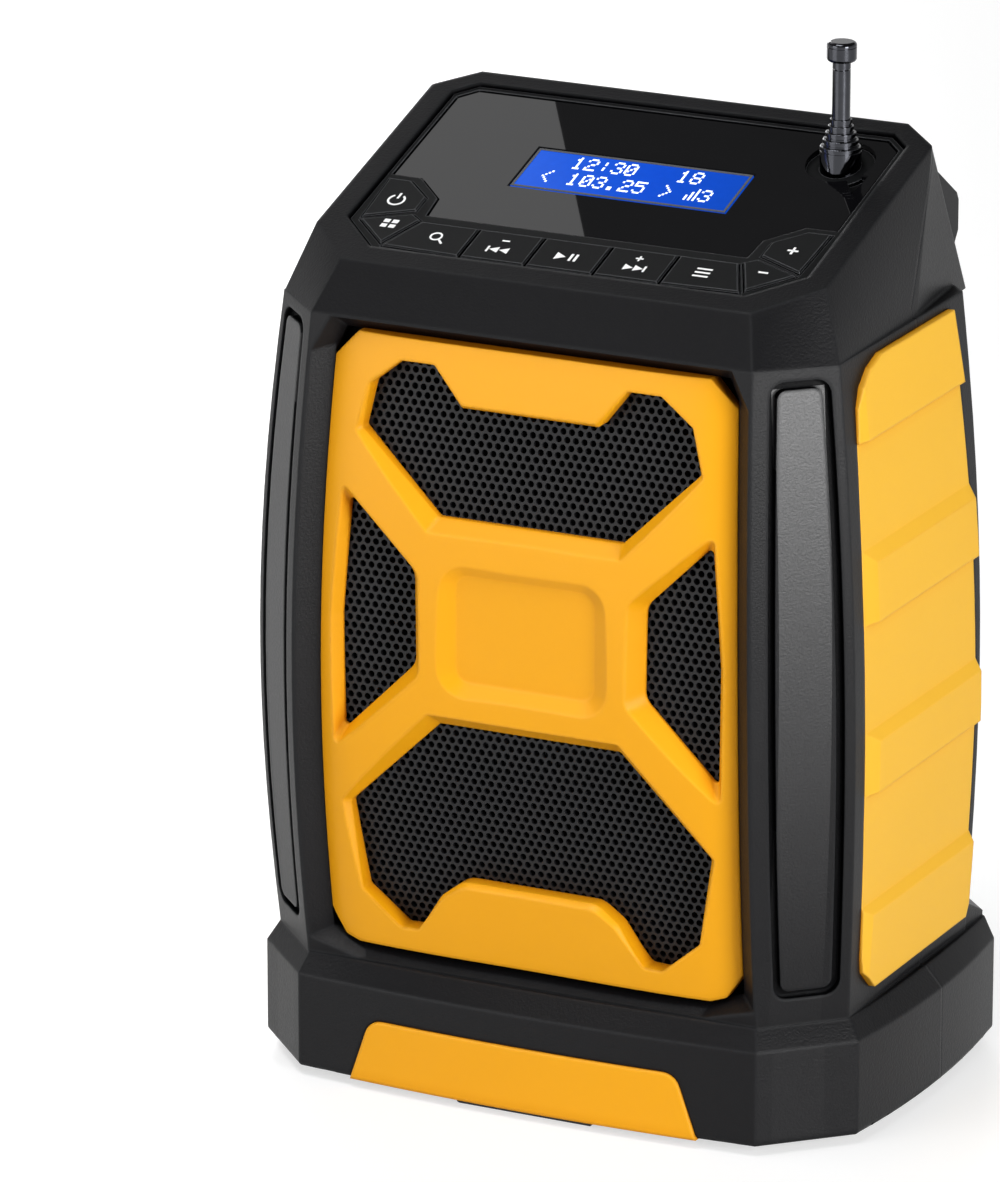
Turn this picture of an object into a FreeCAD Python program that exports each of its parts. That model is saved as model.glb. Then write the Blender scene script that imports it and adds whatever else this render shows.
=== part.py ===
import FreeCAD, Part
import math, os
from FreeCAD import Vector as V

os.makedirs("parts", exist_ok=True)

# Jobsite radio, millimetres. X to the right, -Y to the front, Z up from the floor.
foot_height = 2.0
wall = 2.6

# Barrel stations: height, half width, front depth, corner chamfer.
stations = [(27.5, 67.2, 48.8, 14.4), (56.0, 68.8, 52.5, 15.65), (92.0, 69.5, 54.6, 16.3),
            (131.0, 67.9, 53.6, 15.6), (169.5, 64.1, 49.7, 13.5)]
rear_corner_y, rear_set_back = 26.0, 4.6     # where the rear chamfer starts, rear depth = depth - set back
shoulder = stations[-1][0]                   # the head starts here
head_height, top_slope = 24.7, 0.33          # the control deck: z = top_height + top_slope * y
top_height = shoulder + head_height
deck_angle = math.degrees(math.atan(top_slope))
deck_stretch = math.hypot(1, top_slope)      # length along the deck for each mm of y
seam_y = 2.0                                 # front and rear housing meet here

skirt_half, skirt_depth, skirt_chamfer = 70.0, 51.6, 16.2
skirt_top, slope_top = 23.1, 27.5
side_bow, front_bow, rear_bow = 2.5, 2.5, 3.0

recess_edge, recess_depth, recess_bevel = 0.6, 4.1, 4.0
panel_thick, grille_thick = 2.2, 1.5
front_pack = recess_depth + panel_thick + grille_thick + 0.1
baffle_depth = front_pack + 2.6
seat = 0.15                                  # gap round a piece that is let in
panel_bottom, panel_top = 31.2, 166.4

band_height, band_rise, band_run = 1.4, 2.6, 5.0    # a band, and the slope of its upper edge
side_pocket = 1.3
groove_depth = 1.8                           # channel round the inlay of each corner column

key_gap, key_travel = 0.3, 0.8
deck_pocket, frame_level, lens_level, key_level, key_foot = -3.0, -0.8, -1.1, -0.35, -5.2
board_level, board_thick = -9.2, 1.6
lens_thick, lens_edge = 1.1, 0.3
display_x, display_front, display_rear = 25.0, -9.0, 5.4

antenna_x, antenna_y = 41.0, 14.0
antenna_foot = 105.0
tube_tops = [top_height + rise for rise in (7.0, 8.5, 10.0, 11.4, 12.8)]
tube_outer = [4.4, 3.8, 3.25, 2.7, 2.3]
tube_inner = [3.88, 3.33, 2.78, 2.38, 2.02]
rod_radius, rod_reach, tip_radius, tip_length = 1.93, 12.4, 3.17, 4.3
rod_top = tube_tops[-1] + rod_reach
tip_bottom = rod_top - 0.1
tip_top = tip_bottom + tip_length
well_radius, well_floor = 7.4, -2.1
rim_gap = 0.6                                # dark channel round the control panel

speaker_z, speaker_radius, speaker_seat_y = 100.0, 38.5, -41.0
door_half, door_bottom, door_top = 34.0, 34.0, 94.0
port_left, port_right, port_bottom, port_top = -33.0, -6.0, 108.0, 124.0
aux_x, dc_x, port_z, aux_radius, dc_radius = -26.0, -13.0, 116.0, 1.8, 2.8
hinge_y, knuckle_radius = 50.0, 1.2
hand_half, hand_front, hand_bottom = 38.0, 24.8, shoulder - 0.9
grip_bottom, grip_top, grip_rear = shoulder + 3.4, shoulder + 16.5, 51.0
cell_radius, cell_length, cell_y = 7.1, 50.0, 34.2
screw_radius = 1.5
screw_spots = [(-43.0, 41.0), (43.0, 41.0), (-28.0, 146.0), (28.0, 146.0)]
board_posts = [(-30.0, 99.0), (30.0, 99.0), (-30.0, 132.0), (30.0, 132.0)]
jack_board_y = 33.0
jack_posts = [(-31.5, 122.0), (-7.5, 122.0), (-31.5, 110.0), (-7.5, 110.0)]
base_plate_top = foot_height + 2.4
base_spots = [(-52.0, -28.0), (52.0, -28.0), (-52.0, 29.0), (52.0, 29.0)]
foot_half, foot_pads = 15.9, [(-46.0, 39.0), (46.0, 39.0)]


def save(name, shape):
    shape.exportStep(f"parts/{name}.step")


def wire(points):
    return Part.makePolygon([V(*p) for p in points] + [V(*points[0])])


def box(x0, x1, y0, y1, z0, z1):
    return Part.makeBox(x1 - x0, y1 - y0, z1 - z0, V(x0, y0, z0))


def across(points, y0, y1):
    """A prism along Y over an outline of (x, z) points."""
    return Part.Face(wire([(x, y0, z) for x, z in points])).extrude(V(0, y1 - y0, 0))


def sideways(points, x0, x1):
    """A prism along X over an outline of (y, z) points."""
    return Part.Face(wire([(x0, y, z) for y, z in points])).extrude(V(x1 - x0, 0, 0))


def upright(x, y, z0, z1, r):
    return Part.makeCylinder(r, z1 - z0, V(x, y, z0))


def rearward(x, z, y0, y1, r):
    return Part.makeCylinder(r, y1 - y0, V(x, y0, z), V(0, 1, 0))


def mirrored(points):
    return points + [(-x, y) for x, y in reversed(points)]


def flip(shape):
    return shape.mirror(V(0, 0, 0), V(1, 0, 0))


def outset(points, d):
    """Moves each side of an outline outwards by d, corners kept."""
    n = len(points)
    area = sum(points[i][0] * points[(i + 1) % n][1] - points[(i + 1) % n][0] * points[i][1] for i in range(n))
    d = d if area > 0 else -d
    moved = []
    for i in range(n):
        (ax, ay), (bx, by), (cx, cy) = points[i - 1], points[i], points[(i + 1) % n]
        l1, l2 = math.hypot(bx - ax, by - ay), math.hypot(cx - bx, cy - by)
        n1 = ((by - ay) / l1, -(bx - ax) / l1)
        n2 = ((cy - by) / l2, -(cx - bx) / l2)
        k = d / (1 + n1[0] * n2[0] + n1[1] * n2[1])
        moved.append((bx + k * (n1[0] + n2[0]), by + k * (n1[1] + n2[1])))
    return moved


def rounded(points, radii, steps=5):
    """An outline with its corners turned into short arcs of straight steps."""
    n, out = len(points), []
    for i in range(n):
        r = radii[i]
        b = points[i]
        if r <= 0:
            out.append(b)
            continue
        a, c = points[i - 1], points[(i + 1) % n]
        u = V(a[0] - b[0], a[1] - b[1], 0).normalize()
        w = V(c[0] - b[0], c[1] - b[1], 0).normalize()
        half = u.getAngle(w) / 2
        reach = r / math.tan(half)
        centre = V(b[0], b[1], 0) + (u + w).normalize() * (r / math.sin(half))
        p, q = V(b[0], b[1], 0) + u * reach - centre, V(b[0], b[1], 0) + w * reach - centre
        sweep = math.atan2(p.x * q.y - p.y * q.x, p.dot(q))
        for k in range(steps + 1):
            t = sweep * k / steps
            out.append((centre.x + p.x * math.cos(t) - p.y * math.sin(t),
                        centre.y + p.x * math.sin(t) + p.y * math.cos(t)))
    return out


def on_deck(shape):
    """Lays a shape drawn on the XY plane onto the sloping deck."""
    shape.rotate(V(0, 0, 0), V(1, 0, 0), deck_angle)
    shape.translate(V(0, 0, top_height))
    return shape


def deck_plate(points, low, high):
    """A plate on the deck over an outline of (x, y) points, between two levels."""
    face = Part.Face(wire([(x, y * deck_stretch, low) for x, y in points]))
    return on_deck(face.extrude(V(0, 0, high - low)))


def barrel(outline, rows=None, ruled=False):
    """A loft up the barrel; outline(half width, depth, chamfer) gives the (x, y) points."""
    return Part.makeLoft([wire([(x, y, z) for x, y in outline(w, d, c)]) for z, w, d, c in rows or stations],
                         True, ruled)


def body_outline(inset, front, rear_y=rear_corner_y):
    def outline(w, d, c):
        rear = d - rear_set_back - inset
        ry = rear_y - inset * (math.sqrt(2) - 1)
        ch = c - front + inset * (math.sqrt(2) - 1)
        return mirrored([(w - inset - ch, -(d - front)), (w - inset, -(d - front) + ch), (w - inset, ry),
                         (w - inset - (rear - ry), rear)])
    return outline


def skirt_wire(z, half, depth, chamfer, side, front, rear, rear_half):
    a, b = half - chamfer, depth - chamfer
    rc = skirt_depth - rear_half
    p = [(a, -depth), (half, -b), (half, rear_half), (half - rc, depth), (-half + rc, depth), (-half, rear_half),
         (-half, -b), (-a, -depth)]
    mid = {1: (half + side, 0), 3: (0, depth + rear), 5: (-half - side, 0), 7: (0, -depth - front)}
    edges = []
    for i in range(8):
        s, e = p[i], p[(i + 1) % 8]
        if i in mid:
            edges.append(Part.Arc(V(*s, z), V(*mid[i], z), V(*e, z)).toShape())
        else:
            edges.append(Part.makeLine(V(*s, z), V(*e, z)))
    return Part.Wire(edges)


def skirt_solid(inset):
    h, d, c = skirt_half - inset, skirt_depth - inset, skirt_chamfer - 0.586 * inset
    lower = skirt_wire(foot_height, h, d, c, side_bow, front_bow, rear_bow, 35.4)
    straight = Part.Face(lower).extrude(V(0, 0, skirt_top - foot_height))
    neck = [skirt_wire(skirt_top, h, d, c, side_bow, front_bow, rear_bow, 35.4),
            skirt_wire(slope_top, h - 2.6, d - 2.6, c - 1.2, 1.2, 1.0, 0.6, 36.0)]
    return straight, Part.makeLoft(neck, True, True)


def head_points(inset):
    top = mirrored([(47.0, -43.1), (58.6, -31.7), (58.6, 21.4), (58.2, 21.9), (50.0, 28.4)])
    low = mirrored([(50.6, -49.7), (64.1, -36.2), (63.4, 3.2), (59.4, 38.4), (50.0, 47.0)])
    return outset(top, -inset), outset(low, -inset)


def head_solid(inset, lowered):
    top, low = head_points(inset)
    upper = wire([(x, y, top_height - lowered + top_slope * y) for x, y in top])
    lower = wire([(x, y, shoulder - 1.7 - 0.034 * y) for x, y in low])
    return Part.makeLoft([upper, lower], True, True)


def soft(solid, radius, wanted):
    edges = [e for e in solid.Edges if wanted(e)]
    return solid.makeFillet(radius, edges)


def outer_shape():
    straight, neck = skirt_solid(0)
    straight = soft(straight, 1.2, lambda e: e.BoundBox.ZMax < foot_height + 0.1)
    plinth = barrel(body_outline(0.3, 0.3, 36.0), [(27.0, 67.2, 48.8, 14.4), (28.8, 67.3, 49.0, 14.4)], True)
    cap = Part.makeLoft([wire([(x, y, 28.8) for x, y in body_outline(0.3, 0.3, 36.0)(67.3, 49.0, 14.4)]),
                         wire([(x, y, 33.8) for x, y in body_outline(0.3, 0.3)(67.6, 49.7, 14.6)])], True, True)
    body = barrel(body_outline(0, 0))
    return head_solid(0, 0).fuse([body, plinth, cap, neck, straight]).removeSplitter()


def inner_shape():
    body = inner_barrel()
    straight, neck = skirt_solid(wall)
    base = Part.Face(skirt_wire(foot_height, skirt_half - wall, skirt_depth - wall - 1.9, skirt_chamfer - 1.5,
                                side_bow, front_bow, rear_bow, 35.4)).extrude(V(0, 0, 19.0))
    bridge = box(-46, 46, -38, 38, 18, 32)
    head = head_solid(wall, 5.0).common(box(-80, 80, -80, 80, shoulder - 3.5, top_height + 20))
    return head.fuse([body, base, bridge])


def inner_barrel():
    return barrel(body_outline(wall, baffle_depth),
                  [(26.0, 67.1, 48.6, 14.4)] + stations[1:4] + [(shoulder - 1.0, 64.3, 49.9, 13.6)])


def recess_cutter():
    """The front recess: sloping walls round a straight-sided pocket that holds panel and grille."""
    def at(depth, extra=0.0):
        k = depth / recess_depth

        def outline(w, d, c):
            a = w - c - recess_edge
            pocket = depth + extra
            return mirrored([(a, -80), (a, -d + 0.0), (a - recess_bevel * k, -d + depth),
                             (a - recess_bevel * k, -d + pocket)])
        return outline
    middle = barrel(at(recess_depth, front_pack - recess_depth)).common(
        box(-80, 80, -90, 0, panel_bottom - 0.2, panel_top + 0.2))
    wedges = [corner_wedge(*panel_outline[-2:], 49.3), corner_wedge(*panel_outline[4:6], 50.1)]
    wedges += [flip(wedge) for wedge in wedges]
    low = Part.makeLoft([wire([(x, y, panel_bottom - 3.3) for x, y in at(0.3, 0.3)(67.3, 48.9, 14.4)]),
                         wire([(x, y, panel_bottom) for x, y in at(recess_depth, 0.3)(67.5, 49.3, 14.5)])], True, True)
    high = Part.makeLoft([wire([(x, y, panel_top) for x, y in at(recess_depth, 0.3)(64.5, 50.1, 13.7)]),
                          wire([(x, y, panel_top + 2.9) for x, y in at(0.3, 0.3)(64.2, 49.8, 13.5)])], True, True)
    return [piece.cut(wedges) for piece in (middle, low, high)]


def corner_wedge(a, b, depth):
    """What stays of the housing beyond the panel's corner from a to b, leaning out to the front."""
    floor = recess_depth - depth
    run = math.hypot(b[0] - a[0], b[1] - a[1])
    u = ((b[0] - a[0]) / run, (b[1] - a[1]) / run)
    n = (u[1], -u[0])

    def quad(y, off):
        return wire([(p[0] + s * u[0] + k * n[0], y, p[1] + s * u[1] + k * n[1])
                     for p, s, k in ((a, -15, off), (b, 15, off), (b, 15, 40), (a, -15, 40))])
    lean = recess_bevel * 0.8 / recess_depth
    return Part.makeLoft([quad(-30, 0.2), quad(floor, 0.2)], True, True).fuse(
        Part.makeLoft([quad(floor, 0.2), quad(floor - 12, 0.2 + 12 * lean)], True, True))


def chamfer_points(w, d, c, s0, s1, out, deep):
    """Four plan points that straddle the right corner face between s0 and s1 along it."""
    q = math.sqrt(0.5)
    ax, ay = w - c, -d
    return [(ax + s * q + n * q, ay + s * q - n * q) for s, n in ((s0, out), (s1, out), (s1, -deep), (s0, -deep))]


def column_groove():
    def bar(left, right, z0, z1, radius):
        shape = barrel(lambda w, d, c: chamfer_points(w, d, c, left, c * math.sqrt(2) - right, 3.0, groove_depth))
        shape = shape.common(box(0, 90, -90, 0, z0, z1))
        corner = [e for e in shape.Edges if abs(e.Length - 3.0 - groove_depth) < 0.4]
        return shape.makeFillet(radius, corner)
    return bar(3.9, 2.2, 33.6, 167.0, 3.4).cut(bar(5.6, 4.2, 35.4, 165.2, 2.0))


side_outline = [(-31.2, 40.0), (-30.4, 36.4), (-25.0, 31.7), (22.4, 31.9), (23.6, 34.6), (24.0, 80.0), (22.6, 118.0),
                (20.6, 150.0), (18.2, 167.6), (-19.0, 167.6), (-24.6, 165.8), (-28.8, 162.8), (-30.9, 159.0),
                (-31.6, 152.0), (-32.6, 138.0), (-33.3, 120.0), (-33.3, 95.0), (-32.8, 70.0)]


def side_block(low, high, grow=0.0):
    strip = barrel(lambda w, d, c: [(w + low, -50), (w + high, -50), (w + high, 40), (w + low, 40)])
    return strip.common(sideways(outset(side_outline, grow), 40, 90))


def side_panel():
    base = side_block(-side_pocket, 0.0)
    proud = barrel(lambda w, d, c: [(w - 1.0, -36.0), (w, -33.0), (w + band_height, -28.5), (w + band_height, 40),
                                    (w - 1.0, 40)]).common(sideways(side_outline, 40, 90))
    bands = [(151.6, 175.0, False, 65.9), (113.1, 129.1, True, 68.0), (76.0, 90.0, True, 69.5), (20.0, 51.3, True, 68.5)]
    for z0, z1, bevelled, x in bands:
        if bevelled:
            low, high = z1 - band_run * (band_height + 0.2) / band_rise, z1 + band_run / band_rise
            points = [(55, z0), (80, z0), (80, low), (x + band_height + 0.2, low), (x - 1.0, high), (55, high)]
        else:
            points = [(55, z0), (80, z0), (80, z1), (55, z1)]
        base = base.fuse(proud.common(across(points, -60, 60)))
    return base.removeSplitter()


def panel_section(z, w, d, c):
    edge = w - c - recess_edge - recess_bevel - seat
    back, side, front = -d + recess_depth + panel_thick, -d + recess_depth, -d + recess_depth - 2.6
    curve = [(-edge, side), (-edge + 4.5, side - 1.5), (-edge + 10, side - 2.2), (0, front), (edge - 10, side - 2.2),
             (edge - 4.5, side - 1.5), (edge, side)]
    spline = Part.BSplineCurve()
    spline.interpolate([V(x, y, z) for x, y in curve])
    return Part.Wire([spline.toShape(), Part.makeLine(V(edge, side, z), V(edge, back, z)),
                      Part.makeLine(V(edge, back, z), V(-edge, back, z)),
                      Part.makeLine(V(-edge, back, z), V(-edge, side, z))])


panel_outline = mirrored([(41.2, panel_bottom), (44.6, 32.3), (47.4, 36.4), (60.0, 60.0), (60.0, 130.0), (46.9, 159.8),
                          (40.4, panel_top)])
upper_opening = mirrored([(21.3, 128.8), (39.1, 146.0), (37.1, 155.8), (29.9, 161.6), (22.2, 161.6), (15.8, 153.2)])
lower_opening = mirrored([(15.7, 49.1), (20.6, 45.4), (24.2, 39.6), (26.4, 36.6), (30.6, 36.4), (39.5, 44.0),
                          (42.2, 63.3), (21.0, 83.6)])
flare_start, flare_run = -49.0, 4.7
right_opening = [(42.0, 131.3), (26.8, 116.2), (26.6, 96.0), (43.7, 79.0), (43.9, 105.0)]


def opening_cutter(points, radii, lip):
    """A cutter that flares from the grille out to the panel's face."""
    inner, outer = rounded(points, radii, 4), rounded(outset(points, lip), radii, 4)
    flare = Part.makeLoft([wire([(x, flare_start, z) for x, z in inner]),
                           wire([(x, flare_start - flare_run, z) for x, z in outer])], True, True)
    return across(inner, -60, -30).fuse(flare)


def front_panel():
    panel = Part.makeLoft([panel_section(*row) for row in stations], True, False)
    panel = panel.common(across(panel_outline, -70, -30))
    low_radii = [5, 5, 3, 1.5, 1.5, 1, 1, 1]
    cutters = [opening_cutter(upper_opening, [0.8] * 12, 3.4), opening_cutter(lower_opening, low_radii + low_radii[::-1], 3.4),
               opening_cutter(right_opening, [0.8, 4, 4, 0.8, 0.8], 3.0)]
    cutters.append(flip(cutters[2]))
    badge = rounded([(-16, 94.3), (16, 94.3), (16, 117.7), (-16, 117.7)], [3] * 4)
    badge_rim = rounded([(-20.4, 90.5), (20.4, 90.5), (20.4, 121.5), (-20.4, 121.5)], [7] * 4)
    cutters.append(Part.makeLoft([wire([(x, -51.5, z) for x, z in badge]), wire([(x, -53.6, z) for x, z in badge_rim])],
                                 True, True))
    cutters.append(across(badge_rim, -60, -53.6))
    return panel.cut(cutters)


def grille_plate():
    start = recess_depth + panel_thick + 0.05

    def outline(w, d, c):
        e = w - c - recess_edge - recess_bevel - 0.5
        return [(-e, -d + start), (e, -d + start), (e, -d + start + grille_thick), (-e, -d + start + grille_thick)]
    return barrel(outline).common(across(outset(panel_outline, -0.6), -70, -30))


deck_outline = mirrored([(43.0, -37.6), (53.2, -28.4), (53.2, 20.4), (48.6, 24.4)])
lens_outline = mirrored([(37.0, -23.6), (37.6, -17.2), (44.7, -10.9), (51.6, -10.8), (51.6, 19.4), (48.0, 22.6)])
finger_notch = [(antenna_x + x, antenna_y + y) for x, y in ((2.1, -3.6), (7.8, -4.3), (7.3, -10.6))]
corner_key = [(51.3, -12.7), (46.0, -12.8), (40.0, -17.8), (39.9, -22.8), (50.5, -27.0)]
wedge_key = [(50.2, -28.1), (39.8, -24.2), (37.3, -25.9), (41.9, -35.2)]
end_key = [(36.5, -26.4), (23.3, -26.4), (23.3, -36.5), (41.1, -36.0)]
key_outlines = {
    "key_power": [(-x, y) for x, y in corner_key], "key_mode": [(-x, y) for x, y in wedge_key],
    "key_scan": [(-x, y) for x, y in end_key],
    "key_previous": [(-22.7, -26.4), (-22.7, -36.5), (-8.1, -36.5), (-8.1, -26.4)],
    "key_select": [(-7.5, -26.4), (-7.5, -36.5), (7.5, -36.5), (7.5, -26.4)],
    "key_next": [(22.7, -26.4), (22.7, -36.5), (8.1, -36.5), (8.1, -26.4)],
    "key_menu": end_key, "key_volume_down": wedge_key, "key_volume_up": corner_key}


def antenna_well():
    shape = upright(antenna_x, antenna_y, top_height - 14, top_height + 21, well_radius)
    return shape.fuse(deck_plate(finger_notch, frame_level - 2.0, 3.0))


def display_window(grow):
    return deck_plate([(-display_x - grow, display_front - grow), (display_x + grow, display_front - grow),
                       (display_x + grow, display_rear + grow), (-display_x - grow, display_rear + grow)], -12, 3)


def top_panel():
    plate = deck_plate(outset(deck_outline, -rim_gap), deck_pocket, frame_level)
    plate = plate.cut(deck_plate(outset(lens_outline, seat), lens_level - lens_thick, 2))
    return plate.cut(key_holes() + [display_window(0.1), antenna_well()])


def key_holes():
    return [deck_plate(outset(p, key_gap), -8, 3) for p in key_outlines.values()]


def display_lens():
    lens = deck_plate(lens_outline, lens_level - lens_thick, lens_level).cut([display_window(0.1), antenna_well()])
    return lens.makeChamfer(lens_edge, [e for e in lens.Edges if on_top(e, lens_level) and len(e.Vertexes) == 2
                                        and isinstance(e.Curve, Part.Line)])


def key(points):
    cap = deck_plate(points, -4.0, key_level)
    cap = cap.makeChamfer(0.35, [e for e in cap.Edges if on_top(e, key_level)])
    x = sum(p[0] for p in points) / len(points)
    y = sum(p[1] for p in points) / len(points)
    stem = on_deck(upright(x, y * deck_stretch, key_foot, -4.1, 2.2))
    return cap.fuse(stem).removeSplitter()


def on_top(edge, level):
    return all(abs(deck_level(v.Point) - level) < 0.01 for v in edge.Vertexes)


def deck_level(p):
    a = math.radians(deck_angle)
    return -p.y * math.sin(a) + (p.z - top_height) * math.cos(a)


def housings():
    outer, inner = outer_shape(), inner_shape()
    shell = outer.cut(inner).cut(recess_cutter())
    groove = column_groove()
    pocket = side_block(-side_pocket - 0.05, 12, seat)
    deck_hole = deck_plate(deck_outline, deck_pocket, 6)
    deck_through = deck_plate(outset(deck_outline, -1.6), -6, -2)
    shell = shell.fuse(finger_recess(2.4).common(outer))
    shell = shell.cut([groove, flip(groove), pocket, flip(pocket), deck_hole, deck_through,
                       lower_trim_block(seat), finger_recess(0)] + key_holes())
    under = [(y, top_height + top_slope * y - 2.0) for y in (21.6, 27.5, 90)]
    split = sideways([(seam_y, -5), (seam_y, shoulder + 2.0)] + under + [(90, -5)], -90, 90)
    return outer, finish_front(shell.cut(split), outer), finish_rear(shell.common(split), outer)


def finish_front(front, outer):
    ring = rearward(0, speaker_z, -48, speaker_seat_y, speaker_radius + 1).common(outer).cut(recess_cutter())
    bosses = [rearward(x, z, -43, 19.9, 3.4).cut(recess_cutter()) for x, z in screw_spots]
    feet = [upright(x, y, base_plate_top + 0.05, 22, 3.4) for x, y in base_spots if y < 0]
    front = front.fuse([ring] + bosses + feet)
    holes = [rearward(x, z, 5, 25, screw_radius + 0.05) for x, z in screw_spots]
    holes += [upright(x, y, 0, 14, screw_radius + 0.05) for x, y in base_spots]
    return front.cut([rearward(0, speaker_z, -60, -30, 33.0)] + holes)


def finish_rear(rear, outer):
    bosses = [rearward(x, z, 20.0, 60, 3.8).common(outer) for x, z in screw_spots]
    posts = [rearward(x, z, 17.7, 60, 2.4).common(outer) for x, z in board_posts]
    posts += [rearward(x, z, jack_board_y + 1.5, 60, 1.8).common(outer) for x, z in jack_posts]
    feet = [upright(x, y, base_plate_top + 0.05, 22, 3.4) for x, y in base_spots if y > 0]
    rear = rear.fuse(bosses + posts + feet)
    holes = [rearward(x, z, 15, 60, screw_radius + 0.05) for x, z in screw_spots]
    holes += [rearward(x, z, 38.1, 60, 3.0) for x, z in screw_spots]
    holes += [upright(x, y, 0, 14, screw_radius + 0.05) for x, y in base_spots]
    return rear.cut(holes + [door_prism(0.25), port_prism(seat), port_knuckle(seat)])


def finger_recess(grow):
    """The hand space behind the grip, let into the back of the head."""
    points = outset([(hand_front, hand_bottom), (60.0, hand_bottom), (60.0, top_height + 21),
                     (hand_front + 4.6, top_height + 21), (hand_front + 4.6, top_height - 0.2),
                     (hand_front, top_height - 6.2)], grow)
    return sideways(points, -hand_half - grow, hand_half + grow)


def door_prism(grow):
    h = door_half + grow
    return across([(-h, door_bottom - grow), (h, door_bottom - grow), (h, door_top + grow), (-h, door_top + grow)], 25, 70)


def port_prism(grow):
    return across([(port_left - grow, port_bottom - grow), (port_right + grow, port_bottom - grow),
                   (port_right + grow, port_top + grow), (port_left - grow, port_top + grow)], 25, 70)


def port_knuckle(grow):
    """The barrel that the port cover turns on."""
    return upright(port_left, hinge_y, port_bottom + 2 - grow, port_top - 2 + grow, knuckle_radius + grow)


def rear_skin(outer):
    """The rear wall without openings, for the pieces that close them flush."""
    return outer.cut(inner_barrel())


def lower_trim_block(grow):
    points = rounded(mirrored([(40.8, 1.9), (35.9, 16.0)]), [0, 4, 4, 0])
    face = skirt_wire(-1, skirt_half, skirt_depth + 0.35, skirt_chamfer, side_bow, front_bow, rear_bow, 35.4)
    back = skirt_wire(-1, skirt_half, skirt_depth - 1.8 - grow, skirt_chamfer, side_bow, front_bow, rear_bow, 35.4)
    skin = Part.Face(face).extrude(V(0, 0, 30)).cut(Part.Face(back).extrude(V(0, 0, 30)))
    if grow:
        skin = box(-60, 60, -70, -30, -1, 29).cut(Part.Face(back).extrude(V(0, 0, 30)))
    return skin.common(across(outset(points, grow), -70, -30))


def rear_handle(outer):
    b, t, r = grip_bottom, grip_top, grip_rear
    half = hand_half + 14.0
    bar = sideways([(r - 9.0, b + 1.7), (r - 9.0, t - 1.6), (r - 7.0, t), (r - 4.4, t), (r - 1.0, t - 2.2),
                    (r, t - 4.0), (r, b + 2.5), (r - 1.8, b), (r - 7.0, b)], -half, half)
    ends = [(24.0, b), (24.0, t + 6.0), (r - 17.0, t + 6.0), (r - 11.7, t + 5.0), (r - 1.0, t - 2.2), (r, t - 4.0),
            (r, b + 2.5), (r - 1.8, b)]
    sides = [sideways(ends, -half, -hand_half - 0.2), sideways(ends, hand_half + 0.2, half)]
    return bar.fuse(sides).cut(outer).removeSplitter()


def antenna_tube(i):
    low = antenna_foot + 3.0 * i
    thin = 0.4 * (tube_outer[i] - tube_inner[i])
    shape = upright(antenna_x, antenna_y, low, tube_tops[i], tube_outer[i])
    shape = shape.makeFillet(thin, [e for e in shape.Edges if e.BoundBox.ZMin > tube_tops[i] - 0.1])
    shape = shape.cut(turned_groove(tube_tops[i] - 1.15, tube_outer[i], thin))
    return shape.cut(upright(antenna_x, antenna_y, low - 1, tube_tops[i] + 1, tube_inner[i]))


def turned_groove(z, radius, deep):
    ring = upright(antenna_x, antenna_y, z, z + 0.35, radius + 1)
    return ring.cut(upright(antenna_x, antenna_y, z - 1, z + 1, radius - deep))


def antenna_rod():
    rod = upright(antenna_x, antenna_y, antenna_foot + 15, rod_top, rod_radius)
    return rod.cut(turned_groove(tip_bottom - 1.8, rod_radius, 0.4))


def antenna_socket():
    foot, neck = top_height - 34, top_height - 14
    flange = upright(antenna_x, antenna_y, foot, top_height + 16, well_radius + 0.6).cut(above_deck(deck_pocket - 0.02))
    plug = upright(antenna_x, antenna_y, neck, top_height + 16, well_radius - seat).cut(above_deck(well_floor))
    shape = flange.fuse(plug)
    shape = shape.cut(upright(antenna_x, antenna_y, foot - 1, top_height + 26, tube_outer[0] + 0.02))
    ring = upright(antenna_x, antenna_y, foot - 1, neck, tube_outer[0] + 2.6)
    return shape.cut(ring.cut(upright(antenna_x, antenna_y, foot - 1, neck, tube_outer[0] + 1.8)))


def above_deck(level):
    return deck_plate([(-90, -90), (90, -90), (90, 90), (-90, 90)], level, 60)


def antenna_tip():
    tip = upright(antenna_x, antenna_y, tip_bottom, tip_top, tip_radius)
    tip = tip.makeFillet(0.8, [e for e in tip.Edges if e.BoundBox.ZMax - e.BoundBox.ZMin < 0.1])
    return tip.cut(turned_groove(tip_top - 1.25, tip_radius, 0.25))


def round_part(points):
    """A turned part about the speaker's axis; points are (radius, y)."""
    face = Part.Face(wire([(r, y, speaker_z) for r, y in points]))
    return face.revolve(V(0, 0, speaker_z), V(0, 1, 0), 360)


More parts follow.
